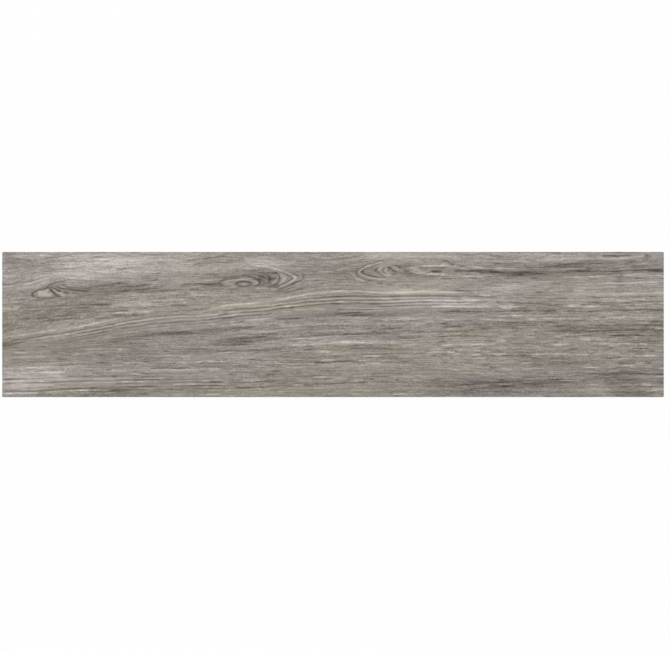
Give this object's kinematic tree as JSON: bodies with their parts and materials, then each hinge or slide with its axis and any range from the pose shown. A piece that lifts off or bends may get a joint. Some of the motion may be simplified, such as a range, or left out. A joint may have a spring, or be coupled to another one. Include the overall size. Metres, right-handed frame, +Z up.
{
  "type": "wood look porcelain plank tile",
  "caption": "Long rectangular porcelain floor tile with a grey wood grain face, softly rounded face edges and a back of shallow ribbed cells that key into mortar.",
  "frame": {"origin": "centre of the back, in the plane of its rib tops, where the tile rests", "axes": "+X along the plank, +Y across it towards the side that is at the top of the picture, +Z up out of the glazed face"},
  "size_m": [0.9112, 0.2, 0.0095],
  "materials": {
    "wood_look_glaze": "matte"
  },
  "bodies": {
    "root": {"plank_tile": "wood_look_glaze"}
  },
  "joints": []
}
